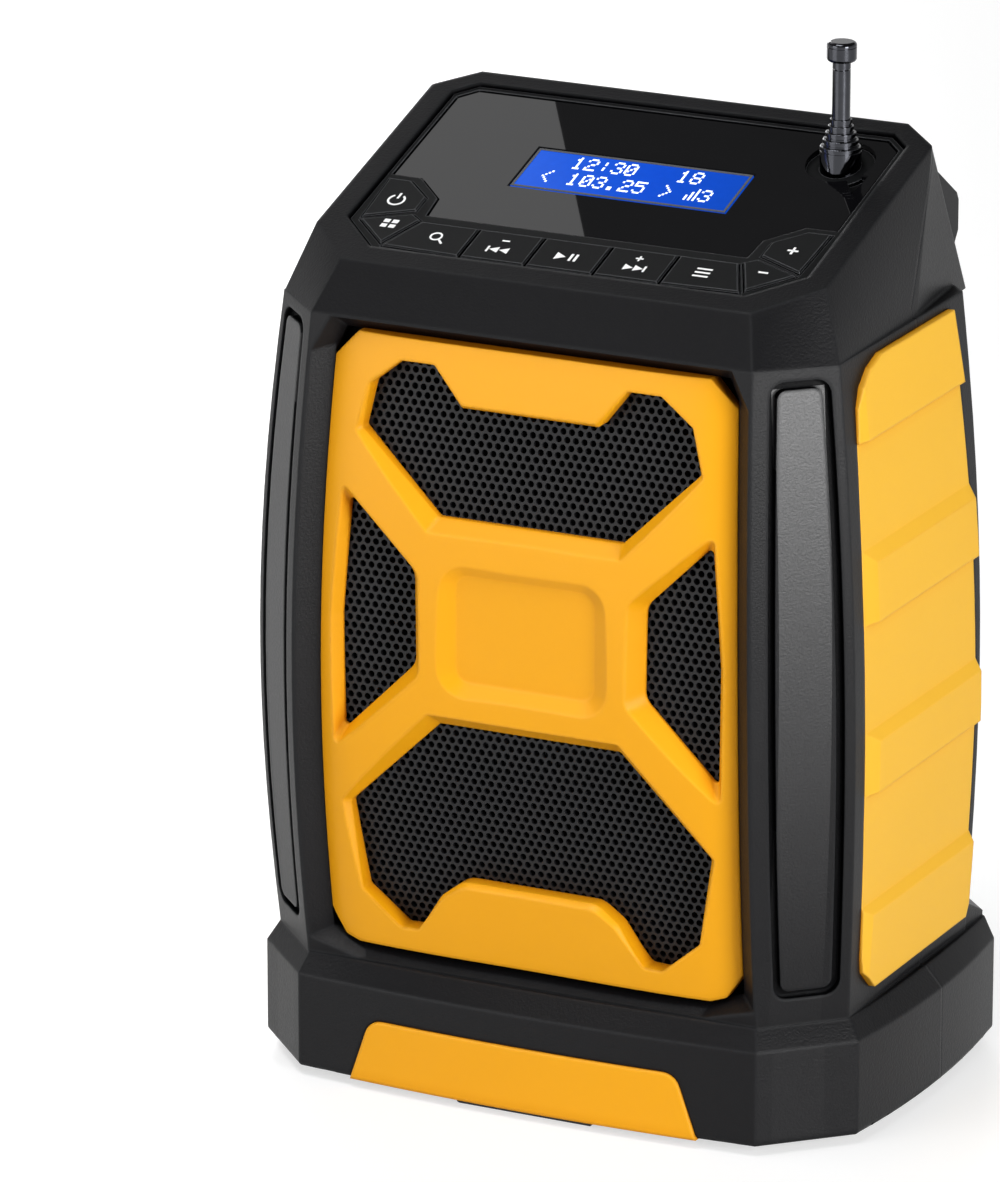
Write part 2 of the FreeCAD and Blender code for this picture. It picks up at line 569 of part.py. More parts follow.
def speaker():
    s = speaker_seat_y
    frame = round_part([(33.2, s + 0.02), (speaker_radius, s + 0.02), (speaker_radius, s + 1.6), (34.6, s + 1.6),
                        (19.0, s + 17.0), (19.0, s + 20.0), (13.5, s + 20.0), (13.5, s + 17.8), (17.4, s + 17.0),
                        (33.2, s + 1.65)])
    windows = []
    for k in range(4):
        slot = box(-9, 9, s + 3.5, s + 15, 20, 40)
        slot.translate(V(0, 0, speaker_z))
        slot.rotate(V(0, 0, speaker_z), V(0, 1, 0), 45 + 90 * k)
        windows.append(slot)
    cone = round_part([(29.0, s + 0.6), (29.8, s + 0.6), (13.4, s + 15.2), (12.6, s + 15.2)])
    surround = round_part([(28.9, s + 0.5), (28.9, s - 0.2), (30.8, s - 2.0), (32.7, s - 0.2), (32.7, s + 1.4),
                           (32.0, s + 1.4), (32.0, s + 0.2), (30.8, s - 1.3), (29.7, s + 0.2), (29.7, s + 0.5)])
    dust = round_part([(0.0, s + 9.2), (5.0, s + 10.0), (9.0, s + 12.0), (12.5, s + 15.2), (11.4, s + 15.2),
                       (8.2, s + 12.6), (4.6, s + 10.8), (0.0, s + 10.0)])
    magnet = round_part([(0.0, s + 20.1), (22.0, s + 20.1), (22.0, s + 31.0), (0.0, s + 31.0)])
    return {"speaker_frame": frame.cut(windows), "speaker_cone": cone, "speaker_surround": surround,
            "speaker_cap": dust, "speaker_magnet": magnet}


def screw(length, head=2.7):
    """A pan-head screw along +Z, its head at the bottom from 0 to 1.7."""
    top = upright(0, 0, 0, 1.7, head)
    top = top.cut([box(-1.6, 1.6, -0.35, 0.35, -1, 0.9), box(-0.35, 0.35, -1.6, 1.6, -1, 0.9)])
    return top.fuse(upright(0, 0, 1.6, 1.7 + length, screw_radius))


def rear_screws():
    out = []
    for x, z in screw_spots:
        one = screw(28.0)
        one.rotate(V(0, 0, 0), V(1, 0, 0), 90)
        one.translate(V(x, 39.8, z))
        out.append(one)
    return Part.makeCompound(out)


def base_screws():
    out = []
    for x, y in base_spots:
        one = screw(8.0)
        one.translate(V(x, y, foot_height + 0.2))
        out.append(one)
    return Part.makeCompound(out)


def base_plate():
    edge = skirt_wire(foot_height, skirt_half - wall - 0.2, skirt_depth - wall - 2.1, skirt_chamfer - 1.6,
                      side_bow, front_bow, rear_bow, 35.4)
    plate = Part.Face(edge).extrude(V(0, 0, base_plate_top - foot_height))
    holes = [upright(x, y, 0, 3.95, 2.9) for x, y in base_spots]
    return plate.cut(holes + [upright(x, y, 0, 9, screw_radius + 0.05) for x, y in base_spots])


def front_foot():
    pad = box(-foot_half, foot_half, -51.8, -45.0, 0, foot_height)
    return pad.makeFillet(1.0, [e for e in pad.Edges if e.BoundBox.ZMin < 0.01 and e.BoundBox.ZMax < 0.01])


def rear_feet():
    pads = []
    for x, y in foot_pads:
        pad = upright(x, y, 0, foot_height, 6.0)
        pads.append(pad.makeFillet(0.8, [e for e in pad.Edges if e.BoundBox.ZMax < 0.01]))
    return Part.makeCompound(pads)


def display_parts():
    x, y0, y1 = display_x - 0.1, display_front + 0.1, display_rear - 0.1
    glass = deck_plate([(-x, y0), (x, y0), (x, y1), (-x, y1)], deck_pocket - 0.3, lens_level - 0.2)
    edge = [(-x - 6, y0 - 4.5), (x + 6, y0 - 4.5), (x + 6, y1 + 4.1), (-x - 6, y1 + 4.1)]
    module = deck_plate(edge, board_level + board_thick + 0.2, deck_pocket - 0.3)
    board = deck_plate(mirrored([(42.4, -35.6), (50.6, -27.6), (50.6, -12.0), (33.0, -12.0), (33.0, 12.0)]),
                       board_level, board_level + board_thick)
    pad_edge = [(42.0, -35.2), (50.2, -27.4), (50.2, -13.2), (39.2, -13.2), (35.8, -19.6), (35.8, -24.6)]
    pad = deck_plate(mirrored(pad_edge), board_level + board_thick, key_foot - key_travel - 0.1)
    return {"lcd_glass": glass, "lcd_module": module, "key_board": board, "key_pad": pad}


def electronics():
    board = box(-34, 34, 16.0, 17.6, 95, 136)
    parts = [box(-10, 4, 14.2, 16, 108, 122), box(10, 22, 13.6, 16, 112, 118), box(-28, -18, 8.0, 16, 124, 130),
             box(14, 28, 9.0, 16, 124, 129)]
    parts += [rearward(x, 103.0, 6.0, 16, 3.1) for x in (-24.0, -15.0, 12.0, 22.0)]
    jack_board = box(-34.4, -4.6, jack_board_y, jack_board_y + 1.4, 107, 125)
    face = jack_board_y + 13.0
    aux = rearward(aux_x, port_z, jack_board_y + 1.4, face, 3.9).cut(rearward(aux_x, port_z, face - 11.4, face + 1, aux_radius))
    dc = box(dc_x - 4.5, dc_x + 4.5, jack_board_y + 1.4, face, port_z - 4.5, port_z + 4.5)
    dc = dc.cut(rearward(dc_x, port_z, face - 9.5, face + 1, dc_radius)).fuse(rearward(dc_x, port_z, face - 9.6, face - 1.0, 1.0))
    return {"main_board": board, "board_parts": Part.makeCompound(parts), "jack_board": jack_board,
            "aux_socket": aux, "dc_socket": dc}


def battery_parts():
    x, y0, y1 = door_half - 0.6, 25.0, 42.0
    z0, z1 = door_bottom + 0.2, door_top - 0.2
    tray = box(-x, x, y0, y1, z0, z1).cut(box(-x + 1.5, x - 1.5, y0 + 1.5, y1 + 5, z0 + 1.5, z1 - 1.5))
    cells, contacts = [], []
    low = z0 + 1.5 + 3.0
    for k in range(4):
        cx = (k - 1.5) * 15.6
        body = upright(cx, cell_y, low, low + cell_length - 1.5, cell_radius)
        cells.append(body.fuse(upright(cx, cell_y, low + cell_length - 1.6, low + cell_length, 2.6)))
        contacts.append(box(cx - 5, cx + 5, cell_y - 5, cell_y + 5, z0 + 1.5, z0 + 1.9))
        contacts.append(upright(cx, cell_y, z0 + 1.9, low - 0.02, 3.0).cut(upright(cx, cell_y, z0 + 1, low + 1, 2.3)))
        contacts.append(box(cx - 5, cx + 5, cell_y - 5, cell_y + 5, low + cell_length + 0.02, z1 - 1.52))
    return tray, Part.makeCompound(cells), Part.makeCompound(contacts)


def main():
    outer, front, rear = housings()
    save("front_housing", front)
    save("rear_housing", rear)
    save("rear_handle", rear_handle(outer))
    save("front_panel", front_panel())
    save("grille_plate", grille_plate())
    right = side_panel()
    save("side_panel_right", right)
    save("side_panel_left", flip(right))
    save("lower_trim", lower_trim_block(0))
    save("top_panel", top_panel())
    save("display_lens", display_lens())
    for name, points in key_outlines.items():
        save(name, key(points))
    for i in range(5):
        save("antenna_tube" if i == 0 else f"antenna_section_{i + 1}", antenna_tube(i))
    save("antenna_rod", antenna_rod())
    save("antenna_tip", antenna_tip().cut(upright(antenna_x, antenna_y, 100, rod_top, rod_radius)))
    save("antenna_socket", antenna_socket())
    for name, shape in speaker().items():
        save(name, shape)
    tray, cells, contacts = battery_parts()
    save("battery_tray", tray)
    save("battery_cells", cells)
    save("battery_contacts", contacts)
    skin = rear_skin(outer)
    save("battery_door", skin.common(door_prism(0)))
    save("port_cover", skin.common(port_prism(0)).fuse(port_knuckle(0)).removeSplitter())
    for name, shape in {**display_parts(), **electronics()}.items():
        save(name, shape)
    save("housing_screws", rear_screws())
    save("base_plate", base_plate())
    save("base_screws", base_screws())
    save("front_foot", front_foot())
    save("rear_feet", rear_feet())


main()
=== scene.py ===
import bpy, bmesh, math
from mathutils import Vector, Matrix


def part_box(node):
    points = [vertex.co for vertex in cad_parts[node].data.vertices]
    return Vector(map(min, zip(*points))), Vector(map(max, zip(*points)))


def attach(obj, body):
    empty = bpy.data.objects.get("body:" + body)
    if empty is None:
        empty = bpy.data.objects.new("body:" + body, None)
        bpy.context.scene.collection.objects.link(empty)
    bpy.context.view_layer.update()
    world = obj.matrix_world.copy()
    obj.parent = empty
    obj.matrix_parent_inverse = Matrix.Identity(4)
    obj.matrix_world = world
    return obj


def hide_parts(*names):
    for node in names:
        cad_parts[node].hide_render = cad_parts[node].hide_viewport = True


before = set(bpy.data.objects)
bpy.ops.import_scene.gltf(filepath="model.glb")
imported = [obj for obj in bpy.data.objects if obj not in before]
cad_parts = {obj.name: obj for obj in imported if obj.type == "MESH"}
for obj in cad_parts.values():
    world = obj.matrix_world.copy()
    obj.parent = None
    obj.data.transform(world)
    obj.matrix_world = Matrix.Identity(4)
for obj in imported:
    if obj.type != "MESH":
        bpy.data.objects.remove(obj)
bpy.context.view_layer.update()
print("frame loaded,", len(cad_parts), "nodes")

mm = 0.001
mergeGap = 0.02 * mm    # points of a grown mesh that are closer than this become one
# The control deck: height at y = 0, rise, and the levels of the display's glass and the key tops below it.
deck = {"height": 194.2 * mm, "slope": 0.33, "glass": -1.3 * mm, "keys": -0.35 * mm}
deckAngle = math.atan(deck["slope"])


def toLinear(hexColour):
    values = [int(hexColour[i:i + 2], 16) / 255 for i in (1, 3, 5)]
    return tuple(v / 12.92 if v <= 0.04045 else ((v + 0.055) / 1.055) ** 2.4 for v in values) + (1.0,)


# A settings name is an input's name or number, or else a property of the node.
def addNode(tree, kind, settings=None, links=None):
    node = tree.nodes.new(kind)
    for name, value in (settings or {}).items():
        if isinstance(name, int) or name in node.inputs.keys():
            node.inputs[name].default_value = value
        else:
            setattr(node, name, value)
    for name, socket in (links or {}).items():
        tree.links.new(socket, node.inputs[name])
    return node


def startMaterial(name, settings):
    material = bpy.data.materials.new(name)
    material.use_nodes = True
    tree = material.node_tree
    shader = tree.nodes["Principled BSDF"]
    for socket, value in settings.items():
        shader.inputs[socket].default_value = value
    return material, tree, shader


# X and y as seen from above, level square to the sloping deck.
def onDeck(x, y, level):
    height = deck["height"] + y * deck["slope"] + level * math.cos(deckAngle)
    return Vector((x, y - level * math.sin(deckAngle), height))


# Four-sided faces between two rings of as many points.
def bridge(made, first, second):
    n = len(first)
    for k in range(n):
        made.faces.new((first[k], first[(k + 1) % n], second[(k + 1) % n], second[k]))


def finishMesh(name, made):
    mesh = bpy.data.meshes.new(name)
    made.to_mesh(mesh)
    made.free()
    return mesh


def newPiece(name, mesh, material, body):
    piece = bpy.data.objects.new(name, mesh)
    bpy.context.scene.collection.objects.link(piece)
    mesh.materials.clear()
    mesh.materials.append(material)
    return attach(piece, body)


# The inlays of the four corner columns: their lower and upper ends, and where |x| - |y| lies on them.
inlay = {"low": 35.4 * mm, "high": 165.2 * mm, "middle": 15.6 * mm, "half": 8.2 * mm,
         "facing": 0.97, "least": 0.05}


# The inlays have an extra gloss of their own, which grows towards the top as a painted highlight: 0 away from
# them, up to 1 on them.
def cornerInlay(tree, place, normal):
    diagonal = (math.sqrt(0.5), math.sqrt(0.5), 0.0)
    turned = addNode(tree, "ShaderNodeVectorMath", {"operation": "ABSOLUTE"}, {0: normal})
    square = addNode(tree, "ShaderNodeVectorMath", {"operation": "DOT_PRODUCT", 1: diagonal},
                     {0: turned.outputs[0]})
    faces = addNode(tree, "ShaderNodeMath", {"operation": "GREATER_THAN", 1: inlay["facing"]},
                    {0: square.outputs["Value"]})
    spot = addNode(tree, "ShaderNodeVectorMath", {"operation": "ABSOLUTE"}, {0: place})
    parts = addNode(tree, "ShaderNodeSeparateXYZ", None, {"Vector": spot.outputs[0]})
    along = addNode(tree, "ShaderNodeMath", {"operation": "SUBTRACT"},
                    {0: parts.outputs["X"], 1: parts.outputs["Y"]})
    within = addNode(tree, "ShaderNodeMath", {"operation": "COMPARE", 1: inlay["middle"], 2: inlay["half"]},
                     {0: along.outputs[0]})
    below = addNode(tree, "ShaderNodeMath", {"operation": "LESS_THAN", 1: inlay["high"]},
                    {0: parts.outputs["Z"]})
    # Painted highlight: the extra gloss rises from least at the inlay's lower end to full at its upper end.
    height = addNode(tree, "ShaderNodeMapRange",
                     {"From Min": inlay["low"], "From Max": inlay["high"], "To Min": inlay["least"]},
                     {"Value": parts.outputs["Z"]})
    last = height.outputs["Result"]
    for factor in (faces, within, below):
        last = addNode(tree, "ShaderNodeMath", {"operation": "MULTIPLY"},
                       {0: last, 1: factor.outputs[0]}).outputs[0]
    return last


# What every moulded plastic shares. A painted edge highlight sets in where the softened normal turns from the
# true one, painted shade and less gloss where little of the surroundings is seen (1 is all of it). Bite is
# the bump's depth per grain.
mould = {"highlightStarts": 0.995, "highlightFull": 0.9, "shadeStarts": 0.9, "shadeFull": 0.35,
         "dull": 0.4, "bright": 0.95, "dullShare": 0.1, "spread": 0.06, "bite": 0.2,
         "edgeSamples": 4, "hollowSamples": 6}


# Injection-moulded ABS: a spark-eroded grain that breaks up the gloss, and a painted highlight that makes
# edges a little lighter. The colours are its two shades and a painted shade colour for corners and recesses.
# In the look, grain, cloud, edge and hollow are lengths, two shares say how far the painted highlight colour
# and the painted shade colour take over, and strength is the grain's.
def mouldedPlastic(name, colours, edgeHighlightColour, look):
    material, tree, shader = startMaterial(name, {"IOR": 1.54})
    place = addNode(tree, "ShaderNodeTexCoord").outputs["Object"]
    grain = addNode(tree, "ShaderNodeTexNoise", {"Scale": 1 / look["grain"], "Detail": 2.0, "Roughness": 0.6},
                    {"Vector": place})
    cloud = addNode(tree, "ShaderNodeTexNoise", {"Scale": 1 / look["cloud"], "Detail": 3.0},
                    {"Vector": place})
    soft = addNode(tree, "ShaderNodeBevel", {"samples": mould["edgeSamples"], "Radius": look["edge"]})
    sharp = addNode(tree, "ShaderNodeNewGeometry")
    facing = addNode(tree, "ShaderNodeVectorMath", {"operation": "DOT_PRODUCT"},
                     {0: soft.outputs[0], 1: sharp.outputs["Normal"]})
    # Painted highlight: the edge mask lightens the colour where the softened normal turns from the true one.
    edge = addNode(tree, "ShaderNodeMapRange",
                   {"From Min": mould["highlightStarts"], "From Max": mould["highlightFull"], "To Max": look["edgeHighlight"]},
                   {"Value": facing.outputs["Value"]})
    shade = addNode(tree, "ShaderNodeMix",
                    {"data_type": "RGBA", "A": toLinear(colours[0]), "B": toLinear(colours[1])},
                    {"Factor": cloud.outputs["Fac"]})
    # Painted shade: where little of the surroundings is seen, the colour turns to the corner colour and the
    # gloss drops.
    hollow = addNode(tree, "ShaderNodeAmbientOcclusion",
                     {"samples": mould["hollowSamples"], "Distance": look["hollow"]})
    deep = addNode(tree, "ShaderNodeMapRange",
                   {"From Min": mould["shadeStarts"], "From Max": mould["shadeFull"], "To Max": look["deep"]},
                   {"Value": hollow.outputs["AO"]})
    shaded = addNode(tree, "ShaderNodeMix", {"data_type": "RGBA", "B": toLinear(colours[2])},
                     {"Factor": deep.outputs["Result"], "A": shade.outputs["Result"]})
    highlighted = addNode(tree, "ShaderNodeMix", {"data_type": "RGBA", "B": toLinear(edgeHighlightColour)},
                   {"Factor": edge.outputs["Result"], "A": shaded.outputs["Result"]})
    sheen = addNode(tree, "ShaderNodeMapRange",
                    {"From Min": mould["dull"], "From Max": mould["bright"],
                     "To Min": look["specular"] * mould["dullShare"], "To Max": look["specular"]},
                    {"Value": hollow.outputs["AO"]})
    gloss = addNode(tree, "ShaderNodeMath", {"operation": "MULTIPLY_ADD", 1: look.get("inlay", 0.0)},
                    {0: cornerInlay(tree, place, sharp.outputs["Normal"]), 2: sheen.outputs["Result"]})
    rough = addNode(tree, "ShaderNodeMapRange",
                    {"To Min": look["roughness"] - mould["spread"],
                     "To Max": look["roughness"] + mould["spread"]},
                    {"Value": grain.outputs["Fac"]})
    bump = addNode(tree, "ShaderNodeBump",
                   {"Strength": look["strength"], "Distance": look["grain"] * mould["bite"]},
                   {"Height": grain.outputs["Fac"], "Normal": soft.outputs[0]})
    tree.links.new(highlighted.outputs["Result"], shader.inputs["Base Color"])
    tree.links.new(gloss.outputs[0], shader.inputs["Specular IOR Level"])
    tree.links.new(rough.outputs["Result"], shader.inputs["Roughness"])
    tree.links.new(bump.outputs[0], shader.inputs["Normal"])
    return material


# Spread is a share of the roughness, bite a share of the speckle's size, strength the bump's usual one.
mottle = {"spread": 0.15, "bite": 0.1, "strength": 0.2}


# A finish with a fine mottle of two shades, its speckle in metres, and a bump of the same.
def plainFinish(name, colours, roughness, speckle, settings=None, strength=mottle["strength"]):
    material, tree, shader = startMaterial(name, {"Roughness": roughness, **(settings or {})})
    place = addNode(tree, "ShaderNodeTexCoord").outputs["Object"]
    noise = addNode(tree, "ShaderNodeTexNoise", {"Scale": 1 / speckle, "Detail": 3.0}, {"Vector": place})
    shade = addNode(tree, "ShaderNodeMix",
                    {"data_type": "RGBA", "A": toLinear(colours[0]), "B": toLinear(colours[1])},
                    {"Factor": noise.outputs["Fac"]})
    rough = addNode(tree, "ShaderNodeMapRange",
                    {"To Min": roughness * (1 - mottle["spread"]),
                     "To Max": min(1.0, roughness * (1 + mottle["spread"]))},
                    {"Value": noise.outputs["Fac"]})
    bump = addNode(tree, "ShaderNodeBump", {"Strength": strength, "Distance": speckle * mottle["bite"]},
                   {"Height": noise.outputs["Fac"]})
    tree.links.new(shade.outputs["Result"], shader.inputs["Base Color"])
    tree.links.new(rough.outputs["Result"], shader.inputs["Roughness"])
    tree.links.new(bump.outputs[0], shader.inputs["Normal"])
    return material


# Satin black ABS from a spark-eroded tool: near black, with a fine grey sparkle where light grazes it.
# Its edges get a painted grey highlight, its hollows a painted shade, and its corner inlays a painted
# highlight towards the top.
blackAbs = mouldedPlastic("BlackAbsSparkGrain", ("#0D0D0F", "#121214", "#040405"), "#2E2F31",
                          {"roughness": 0.4, "specular": 0.13, "inlay": 0.4, "grain": 0.55 * mm,
                           "cloud": 30 * mm, "edge": 1.1 * mm, "edgeHighlight": 0.5, "strength": 0.6,
                           "hollow": 4 * mm, "deep": 1.0})
# The same black under the hand on deck and keys, with a finer grain and less gloss.
# Its edges get a painted pale grey highlight and its hollows a painted shade.
deckAbs = mouldedPlastic("BlackAbsFineMatt", ("#0C0D0E", "#101112", "#040405"), "#606164",
                         {"roughness": 0.42, "specular": 0.12, "grain": 0.3 * mm, "cloud": 20 * mm,
                          "edge": 0.3 * mm, "edgeHighlight": 1.0, "strength": 0.25, "hollow": 2 * mm, "deep": 1.0})
# Yellow ABS from a lightly textured tool: even, warm, a soft sheen, with a painted orange shade into the
# recess.
# Its edges get a painted pale yellow highlight.
yellowAbs = mouldedPlastic("YellowAbsSatin", ("#E9A008", "#ECA40C", "#B9600A"), "#FFB52C",
                           {"roughness": 0.4, "specular": 0.24, "grain": 0.5 * mm, "cloud": 40 * mm,
                            "edge": 1.2 * mm, "edgeHighlight": 0.6, "strength": 0.1, "hollow": 5 * mm, "deep": 0.75})
# The side cheeks are a softer, paler grade of the same yellow: a little chalky, with a painted orange shade
# in their corners.
# Their edges get a painted pale yellow highlight.
yellowCheek = mouldedPlastic("YellowSoftAbs", ("#ECB428", "#F0B82E", "#C87008"), "#FFC24A",
                             {"roughness": 0.5, "specular": 0.3, "grain": 0.5 * mm, "cloud": 40 * mm,
                              "edge": 0.8 * mm, "edgeHighlight": 0.6, "strength": 0.1, "hollow": 3 * mm, "deep": 0.9})
# Thermoplastic rubber over-moulding of the grip: dull, slightly chalky black.
gripRubber = plainFinish("GripRubberMatt", ("#161617", "#202022"), 0.72, 0.5 * mm)
# Moulded rubber feet: the dullest black on the piece, with no clear reflection.
footRubber = plainFinish("FootRubberMoulded", ("#101011", "#1B1B1C"), 0.8, 0.6 * mm)
# Silicone sheet under the keys: a flat dark grey.
keyRubber = plainFinish("SiliconeKeyPad", ("#3A3B3D", "#444548"), 0.65, 0.8 * mm)
# Polished black acrylic: a mirror-smooth face with only its thin reflections to see.
lensAcrylic = plainFinish("BlackAcrylicPolished", ("#08080A", "#0B0B0D"), 0.01, 8 * mm, {"IOR": 1.49}, 0.0)
# Black-chromed drawn tube: a smoky mirror, very slightly uneven from the drawing.
chrome = plainFinish("SmokedChromeTube", ("#3C3D41", "#46474B"), 0.06, 1.5 * mm, {"Metallic": 1.0}, 0.02)
# Perforated steel with black powder coat: a slightly pebbled dark grey.
powderCoat = plainFinish("PowderCoatPerforatedSteel", ("#151517", "#1C1C1E"), 0.5, 0.4 * mm,
                         {"Specular IOR Level": 0.25}, 0.3)
# Pad-printed two-part ink: a clean white, not quite even.
whiteInk = plainFinish("PadPrintInkWhite", ("#F4F5F6", "#FFFFFF"), 0.5, 0.5 * mm)
# Grey silicone gasket under the window: a soft, even grey.
gasketGrey = plainFinish("SiliconeGasketGrey", ("#4A4C50", "#56585C"), 0.5, 1.0 * mm)
# Solder mask on glass-fibre board: deep green with a wet gloss.
solderMask = plainFinish("SolderMaskGreen", ("#114A2B", "#1A6038"), 0.35, 2.5 * mm)
# Transfer-moulded epoxy of the chips: flat charcoal, finely sandy.
chipEpoxy = plainFinish("ChipEpoxyBlack", ("#18181A", "#232326"), 0.55, 0.4 * mm)
# Moulded nylon of sockets and tray: black with a waxy sheen.
nylonBlack = plainFinish("NylonSocketBlack", ("#121214", "#1C1C1F"), 0.4, 0.7 * mm)
# Pressed paper of the cone: fibrous dark grey without any shine.
paperCone = plainFinish("PressedPaperCone", ("#26272A", "#35363A"), 0.85, 0.7 * mm, None, 0.6)
# Butyl rubber roll round the cone: smooth dull black.
butylRoll = plainFinish("ButylSurround", ("#151516", "#1F1F20"), 0.6, 1.0 * mm)
# Zinc-plated pressed steel: a pale grey metal with a blurred shine.
zincSteel = plainFinish("ZincPlatedSteel", ("#8E9194", "#A6A9AC"), 0.32, 1.2 * mm, {"Metallic": 1.0}, 0.1)
# Sintered ferrite of the magnet: stony dark grey.
ferrite = plainFinish("SinteredFerrite", ("#242527", "#303135"), 0.7, 0.6 * mm, None, 0.4)
# Nickel-plated contact springs: a warm bright metal.
nickelSpring = plainFinish("NickelPlatedContact", ("#B6B2A6", "#CBC7BB"), 0.22, 1.0 * mm,
                           {"Metallic": 1.0}, 0.05)
# Shrink sleeve of the cells: a taut, glossy blue film.
cellSleeve = plainFinish("CellShrinkSleeve", ("#3D6E9E", "#4A7DAE"), 0.3, 3 * mm)
# Black-oxide screws: dark metal under a thin oily film.
blackScrew = plainFinish("BlackOxideScrew", ("#1F1F21", "#2C2C2F"), 0.38, 0.5 * mm, {"Metallic": 0.8}, 0.1)

# The glow from left to right, the panel's own colour when unlit, and the mottle's size and range.
backlight = {"halfWidth": 25 * mm, "left": "#0A62F2", "middle": "#0A55E4", "right": "#0B50D0",
             "middleAt": 0.6, "unlit": "#04123C", "power": 0.8, "mottle": 1.667 * mm,
             "least": 0.94, "most": 1.06}


# Backlit blue panel under clear glass: an even glow, brighter at its left end, with a very faint mottle.
def displayBlue():
    material, tree, shader = startMaterial(
        "BacklitGlassBlue", {"Roughness": 0.12, "IOR": 1.5, "Emission Strength": backlight["power"],
                             "Specular IOR Level": 0.12, "Base Color": toLinear(backlight["unlit"])})
    place = addNode(tree, "ShaderNodeTexCoord").outputs["Object"]
    parts = addNode(tree, "ShaderNodeSeparateXYZ", None, {"Vector": place})
    along = addNode(tree, "ShaderNodeMapRange",
                    {"From Min": -backlight["halfWidth"], "From Max": backlight["halfWidth"]},
                    {"Value": parts.outputs["X"]})
    ramp = addNode(tree, "ShaderNodeValToRGB", None, {"Fac": along.outputs["Result"]})
    ramp.color_ramp.elements[0].color = toLinear(backlight["left"])
    ramp.color_ramp.elements[1].color = toLinear(backlight["right"])
    middle = ramp.color_ramp.elements.new(backlight["middleAt"])
    middle.color = toLinear(backlight["middle"])
    grid = addNode(tree, "ShaderNodeTexNoise", {"Scale": 1 / backlight["mottle"], "Detail": 1.0},
                   {"Vector": place})
    lift = addNode(tree, "ShaderNodeMapRange", {"To Min": backlight["least"], "To Max": backlight["most"]},
                   {"Value": grid.outputs["Fac"]})
    even = addNode(tree, "ShaderNodeVectorMath", {"operation": "SCALE"},
                   {0: ramp.outputs["Color"], "Scale": lift.outputs["Result"]})
    tree.links.new(even.outputs[0], shader.inputs["Emission Color"])
    return material


litDot = {"dim": "#CFE2FF", "bright": "#F2F8FF", "mottle": 1.111 * mm}


# Lit dots of the liquid crystal: cold white, a little uneven from dot to dot.
def displayWhite():
    material, tree, shader = startMaterial("LitDotsWhite", {"Roughness": 0.3, "Emission Strength": 1.0})
    place = addNode(tree, "ShaderNodeTexCoord").outputs["Object"]
    noise = addNode(tree, "ShaderNodeTexNoise", {"Scale": 1 / litDot["mottle"]}, {"Vector": place})
    shade = addNode(tree, "ShaderNodeMix",
                    {"data_type": "RGBA", "A": toLinear(litDot["dim"]), "B": toLinear(litDot["bright"])},
                    {"Factor": noise.outputs["Fac"]})
    tree.links.new(shade.outputs["Result"], shader.inputs["Base Color"])
    tree.links.new(shade.outputs["Result"], shader.inputs["Emission Color"])
    return material


blueGlass, litDots = displayBlue(), displayWhite()
underKeys = ("key_pad", "key_board")
keyNodes = [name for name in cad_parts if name.startswith("key_") and name not in underKeys]
nodeFinishes = {
    blackAbs: ["front_housing", "rear_housing", "base_plate", "battery_door", "port_cover"],
    deckAbs: ["top_panel", "antenna_socket"] + keyNodes,
    yellowAbs: ["front_panel", "lower_trim"],
    yellowCheek: ["side_panel_left", "side_panel_right"],
    gripRubber: ["rear_handle"],
    footRubber: ["front_foot", "rear_feet"],
    keyRubber: ["key_pad"],
    lensAcrylic: ["display_lens"],
    blueGlass: ["lcd_glass"],
    chipEpoxy: ["lcd_module", "board_parts"],
    solderMask: ["key_board", "main_board", "jack_board"],
    nylonBlack: ["aux_socket", "dc_socket", "battery_tray"],
    chrome: ["antenna_tube", "antenna_section_2", "antenna_section_3", "antenna_section_4",
             "antenna_section_5", "antenna_rod", "antenna_tip"],
    zincSteel: ["speaker_frame", "base_screws"],
    blackScrew: ["housing_screws"],
    paperCone: ["speaker_cone", "speaker_cap"],
    butylRoll: ["speaker_surround"],
    ferrite: ["speaker_magnet"],
    cellSleeve: ["battery_cells"],
    nickelSpring: ["battery_contacts"],
    powderCoat: ["grille_plate"],
}
for finish, names in nodeFinishes.items():
    for name in names:
        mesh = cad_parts[name].data
        mesh.materials.clear()
        mesh.materials.append(finish)
print("finishes set")


# The perforated sheet. Margin: holes run on this far behind the panel's edge. The cells start ahead of the
# plate and are laid back onto it, and a cell left more than stray in front of it has missed the plate.
grille = {"pitch": 1.98 * mm, "holeRadius": 0.73 * mm, "thickness": 1.4 * mm, "sides": 12, "margin": 2.4 * mm,
          "ahead": 10 * mm, "stray": 0.5 * mm}
# The panel's openings in mm as x and z: right halves of the two in the middle, and the one at the right.
middleOpenings = [
    [(21.3, 128.8), (39.1, 146.0), (37.1, 155.8), (29.9, 161.6), (22.2, 161.6), (15.8, 153.2)],
    [(15.7, 49.1), (20.6, 45.4), (24.2, 39.6), (26.4, 36.6), (30.6, 36.4), (39.5, 44.0), (42.2, 63.3),
     (21.0, 83.6)]]
sideOpening = [(42.0, 131.3), (26.8, 116.2), (26.6, 96.0), (43.7, 79.0), (43.9, 105.0)]


def insideOutline(x, z, outline):
    inside = False
    for (ax, az), (bx, bz) in zip(outline, outline[1:] + outline[:1]):
        if (az > z) != (bz > z) and x < (bx - ax) * (z - az) / (bz - az) + ax:
            inside = not inside
    return inside


def nearOutline(x, z, outline, margin):
    around = [math.radians(degrees) for degrees in range(0, 360, 30)]
    places = [(x, z)] + [(x + margin * math.cos(t), z + margin * math.sin(t)) for t in around]
    return any(insideOutline(px, pz, outline) for px, pz in places)


